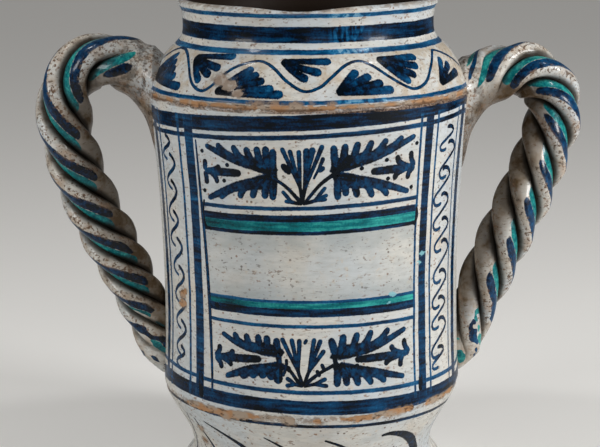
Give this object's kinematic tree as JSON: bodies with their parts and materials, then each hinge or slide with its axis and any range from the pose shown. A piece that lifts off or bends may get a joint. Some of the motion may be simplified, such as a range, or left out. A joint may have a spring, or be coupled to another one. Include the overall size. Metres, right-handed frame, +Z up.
{
  "type": "two-handled drug jar",
  "caption": "Waisted tin-glazed jar with an open mouth and a pair of twisted rope handles from shoulder to wall, for storing and pouring dry or liquid stores.",
  "frame": {"origin": "on the jar's axis, in the plane that its foot stands on", "axes": "+Z up along the jar's axis, X through both handles with the taller arched handle at -X, -Y towards the painted front"},
  "size_m": [0.3086, 0.1808, 0.276],
  "materials": {
    "vessel_glaze": "glossy opaque cream tin glaze painted in blue and green, worn at the edges",
    "root_glaze": "glossy opaque cream tin glaze over hand-smeared clay",
    "coil_glaze": "cream tin glaze worn on the crests, with blue and green strokes in the twist"
  },
  "bodies": {
    "root": {"vessel": "vessel_glaze", "left_upper_root": "root_glaze", "left_coil_1": "coil_glaze", "left_coil_2": "coil_glaze", "left_coil_3": "coil_glaze", "left_coil_4": "coil_glaze", "left_lower_root": "root_glaze", "right_upper_root": "root_glaze", "right_coil_1": "coil_glaze", "right_coil_2": "coil_glaze", "right_coil_3": "coil_glaze", "right_coil_4": "coil_glaze", "right_lower_root": "root_glaze"}
  },
  "joints": []
}
